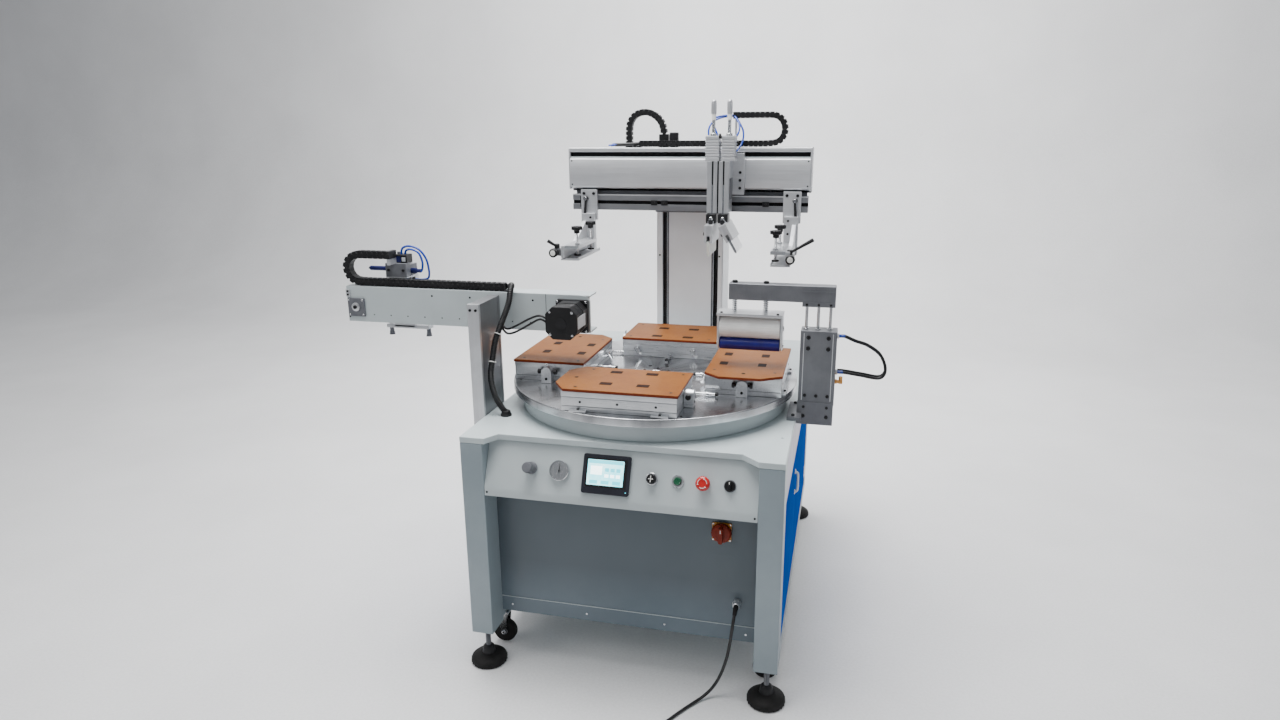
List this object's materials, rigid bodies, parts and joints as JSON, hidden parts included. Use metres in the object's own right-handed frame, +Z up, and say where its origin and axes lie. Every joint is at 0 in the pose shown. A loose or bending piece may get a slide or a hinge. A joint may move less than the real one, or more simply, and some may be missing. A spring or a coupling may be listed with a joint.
{
  "type": "screen printing carousel",
  "caption": "Automatic rotary-table flat screen printer: steel cabinet, indexing turntable with work fixtures, lifting print head, unloading arm and roller cleaning station.",
  "frame": {"origin": "on the floor under the centre of the machine's box, cord left out", "axes": "+X to the operator's right along the longest extent, +Y from the operator towards the column at the back, +Z up"},
  "size_m": [1.7199, 1.6555, 1.681],
  "materials": {
    "white_enamel": "smooth white-grey enamel, satin",
    "blue_enamel": "deep blue enamel, satin",
    "grey_enamel": "grey machine enamel, satin",
    "aluminium": "turned and milled aluminium, fine tool marks",
    "dark_anodised": "dark grey anodised aluminium, satin",
    "bakelite": "orange-brown laminated phenolic sheet, machined edges",
    "black_plastic": "black moulded plastic",
    "black_rubber": "black rubber",
    "roller_white": "white coated roller, semi-gloss",
    "roller_blue": "deep blue elastomer roller",
    "screen_glass": "black bezel around a bright touch screen",
    "green_plastic": "green push button cap",
    "red_plastic": "red plastic, smooth",
    "grey_plastic": "grey plastic knob"
  },
  "bodies": {
    "base": {"side_frame_left": "white_enamel", "side_frame_right": "white_enamel", "table_top": "white_enamel", "control_panel": "white_enamel", "inner_front_panel": "white_enamel", "rear_cover": "white_enamel", "side_panel_left": "blue_enamel", "index_drive": "grey_enamel", "turntable_drum": "white_enamel", "column": "white_enamel", "unload_bracket": "aluminium", "unload_beam": "white_enamel", "unload_motor": "black_plastic", "unload_chain": "black_plastic", "arm_cable": "black_rubber", "cleaner_body": "dark_anodised", "cleaner_hose": "black_rubber", "touch_screen": "screen_glass", "power_cord": "black_rubber", "cord_coil": "black_rubber", "power_plug": "black_plastic"},
    "cabinet_door": {"side_door_right": "blue_enamel"},
    "turntable": {"turntable_disc": "aluminium", "fixture_block_front": "aluminium", "fixture_block_right": "aluminium", "fixture_block_back": "aluminium", "fixture_block_left": "aluminium", "fixture_plate_front": "bakelite", "fixture_plate_right": "bakelite", "fixture_plate_back": "bakelite", "fixture_plate_left": "bakelite"},
    "print_head": {"print_beam": "white_enamel"},
    "carriage": {"print_carriage": "aluminium"},
    "squeegee": {"squeegee_head": "aluminium"},
    "flood_bar": {"flood_head": "aluminium"},
    "arm_left": {"frame_arm_left": "aluminium"},
    "arm_right": {"frame_arm_right": "aluminium"},
    "unloader": {"unload_carriage": "dark_anodised"},
    "cleaner": {"cleaner_arm": "dark_anodised"},
    "roller_white": {"white_roller": "roller_white"},
    "roller_blue": {"blue_roller": "roller_blue"},
    "needle": {"gauge_needle": "black_plastic"},
    "regulator": {"regulator_knob": "grey_plastic"},
    "speed": {"speed_knob": "black_plastic"},
    "start": {"start_button": "green_plastic"},
    "stop": {"emergency_stop": "red_plastic"},
    "selector": {"mode_selector": "black_plastic"},
    "isolator": {"main_isolator": "red_plastic"},
    "foot_front_left": {"foot_front_left": "black_rubber"},
    "caster_front_left": {"caster_wheel_front_left": "black_rubber"},
    "foot_front_right": {"foot_front_right": "black_rubber"},
    "caster_front_right": {"caster_wheel_front_right": "black_rubber"},
    "foot_rear_left": {"foot_rear_left": "black_rubber"},
    "caster_rear_left": {"caster_wheel_rear_left": "black_rubber"},
    "foot_rear_right": {"foot_rear_right": "black_rubber"},
    "caster_rear_right": {"caster_wheel_rear_right": "black_rubber"},
    "clamp_rear_left": {"clamp_knob_rear_left": "black_plastic"},
    "clamp_front_left": {"clamp_knob_front_left": "black_plastic"},
    "clamp_rear_right": {"clamp_knob_rear_right": "black_plastic"},
    "clamp_front_right": {"clamp_knob_front_right": "black_plastic"}
  },
  "joints": [
    {"name": "door_hinge", "type": "hinge", "parent": "base", "child": "cabinet_door", "pos_m": [0.6048, 0.5819, 0.38], "axis": [0, 0, 1], "range_deg": [0, 110]},
    {"name": "foot_turn_front_left", "type": "hinge", "parent": "base", "child": "foot_front_left", "pos_m": [-0.2832, -0.6196, 0.06], "axis": [0, 0, 1], "range_deg": [-720, 720]},
    {"name": "caster_roll_front_left", "type": "hinge", "parent": "base", "child": "caster_front_left", "pos_m": [-0.2702, -0.5156, 0.0445], "axis": [0, 1, 0], "continuous": true},
    {"name": "foot_turn_front_right", "type": "hinge", "parent": "base", "child": "foot_front_right", "pos_m": [0.5728, -0.6196, 0.06], "axis": [0, 0, 1], "range_deg": [-720, 720]},
    {"name": "caster_roll_front_right", "type": "hinge", "parent": "base", "child": "caster_front_right", "pos_m": [0.5598, -0.5156, 0.0445], "axis": [0, 1, 0], "continuous": true},
    {"name": "foot_turn_rear_left", "type": "hinge", "parent": "base", "child": "foot_rear_left", "pos_m": [-0.2832, 0.6269, 0.06], "axis": [0, 0, 1], "range_deg": [-720, 720]},
    {"name": "caster_roll_rear_left", "type": "hinge", "parent": "base", "child": "caster_rear_left", "pos_m": [-0.2702, 0.5194, 0.0445], "axis": [0, 1, 0], "continuous": true},
    {"name": "foot_turn_rear_right", "type": "hinge", "parent": "base", "child": "foot_rear_right", "pos_m": [0.5728, 0.6269, 0.06], "axis": [0, 0, 1], "range_deg": [-720, 720]},
    {"name": "caster_roll_rear_right", "type": "hinge", "parent": "base", "child": "caster_rear_right", "pos_m": [0.5598, 0.5194, 0.0445], "axis": [0, 1, 0], "continuous": true},
    {"name": "turntable_index", "type": "hinge", "parent": "base", "child": "turntable", "pos_m": [0.1448, -0.1706, 0.83], "axis": [0, 0, 1], "continuous": true},
    {"name": "head_lift", "type": "slide", "parent": "base", "child": "print_head", "axis": [0, 0, 1], "range_m": [-0.22, 0]},
    {"name": "print_stroke", "type": "slide", "parent": "print_head", "child": "carriage", "axis": [1, 0, 0], "range_m": [-0.3, 0.05]},
    {"name": "squeegee_stroke", "type": "slide", "parent": "carriage", "child": "squeegee", "axis": [0, 0, 1], "range_m": [-0.045, 0]},
    {"name": "flood_stroke", "type": "slide", "parent": "carriage", "child": "flood_bar", "axis": [0, 0, 1], "range_m": [-0.045, 0]},
    {"name": "arm_left_slide", "type": "slide", "parent": "print_head", "child": "arm_left", "axis": [1, 0, 0], "range_m": [-0.04, 0.05]},
    {"name": "arm_right_slide", "type": "slide", "parent": "print_head", "child": "arm_right", "axis": [1, 0, 0], "range_m": [-0.03, 0.04]},
    {"name": "clamp_screw_rear_left", "type": "hinge", "parent": "arm_left", "child": "clamp_rear_left", "pos_m": [-0.1552, 0.1294, 1.218], "axis": [0, 0, 1], "range_deg": [-720, 1440]},
    {"name": "clamp_screw_front_left", "type": "hinge", "parent": "arm_left", "child": "clamp_front_left", "pos_m": [-0.1552, -0.0256, 1.218], "axis": [0, 0, 1], "range_deg": [-720, 1440]},
    {"name": "clamp_screw_rear_right", "type": "hinge", "parent": "arm_right", "child": "clamp_rear_right", "pos_m": [0.5048, 0.1294, 1.218], "axis": [0, 0, 1], "range_deg": [-720, 1440]},
    {"name": "clamp_screw_front_right", "type": "hinge", "parent": "arm_right", "child": "clamp_front_right", "pos_m": [0.5048, -0.0256, 1.218], "axis": [0, 0, 1], "range_deg": [-720, 1440]},
    {"name": "unload_slide", "type": "slide", "parent": "base", "child": "unloader", "axis": [1, 0, 0], "range_m": [0, 0.5]},
    {"name": "cleaner_lift", "type": "slide", "parent": "base", "child": "cleaner", "axis": [0, 0, 1], "range_m": [-0.04, 0.02]},
    {"name": "white_roller_spin", "type": "hinge", "parent": "cleaner", "child": "roller_white", "pos_m": [0.4553, -0.2366, 1.0125], "axis": [1, 0, 0], "continuous": true},
    {"name": "blue_roller_spin", "type": "hinge", "parent": "cleaner", "child": "roller_blue", "pos_m": [0.4553, -0.2406, 0.9613], "axis": [1, 0, 0], "continuous": true},
    {"name": "gauge_turn", "type": "hinge", "parent": "base", "child": "needle", "pos_m": [-0.0242, -0.64181, 0.66889], "axis": [0, -0.9135, 0.4067], "range_deg": [-135, 135], "stiffness_Nm_per_rad": 0.001},
    {"name": "regulator_turn", "type": "hinge", "parent": "base", "child": "regulator", "pos_m": [-0.1079, -0.65323, 0.67397], "axis": [0, -0.9135, 0.4067], "range_deg": [-720, 720]},
    {"name": "speed_turn", "type": "hinge", "parent": "base", "child": "speed", "pos_m": [0.2421, -0.64409, 0.6699], "axis": [0, -0.9135, 0.4067], "range_deg": [-150, 150]},
    {"name": "start_press", "type": "slide", "parent": "base", "child": "start", "axis": [0, 0.9135, -0.4067], "range_m": [0, 0.003], "stiffness_N_per_m": 800},
    {"name": "stop_press", "type": "slide", "parent": "base", "child": "stop", "axis": [0, 0.9135, -0.4067], "range_m": [0, 0.005]},
    {"name": "selector_turn", "type": "hinge", "parent": "base", "child": "selector", "pos_m": [0.4575, -0.64409, 0.6699], "axis": [0, -0.9135, 0.4067], "range_deg": [-45, 45]},
    {"name": "isolator_turn", "type": "hinge", "parent": "base", "child": "isolator", "pos_m": [0.4298, -0.5873, 0.5], "axis": [0, -1, 0], "range_deg": [0, 90]}
  ],
  "couplings": [
    {"joint": "blue_roller_spin", "follows": "white_roller_spin", "ratio": -1.7568}
  ]
}
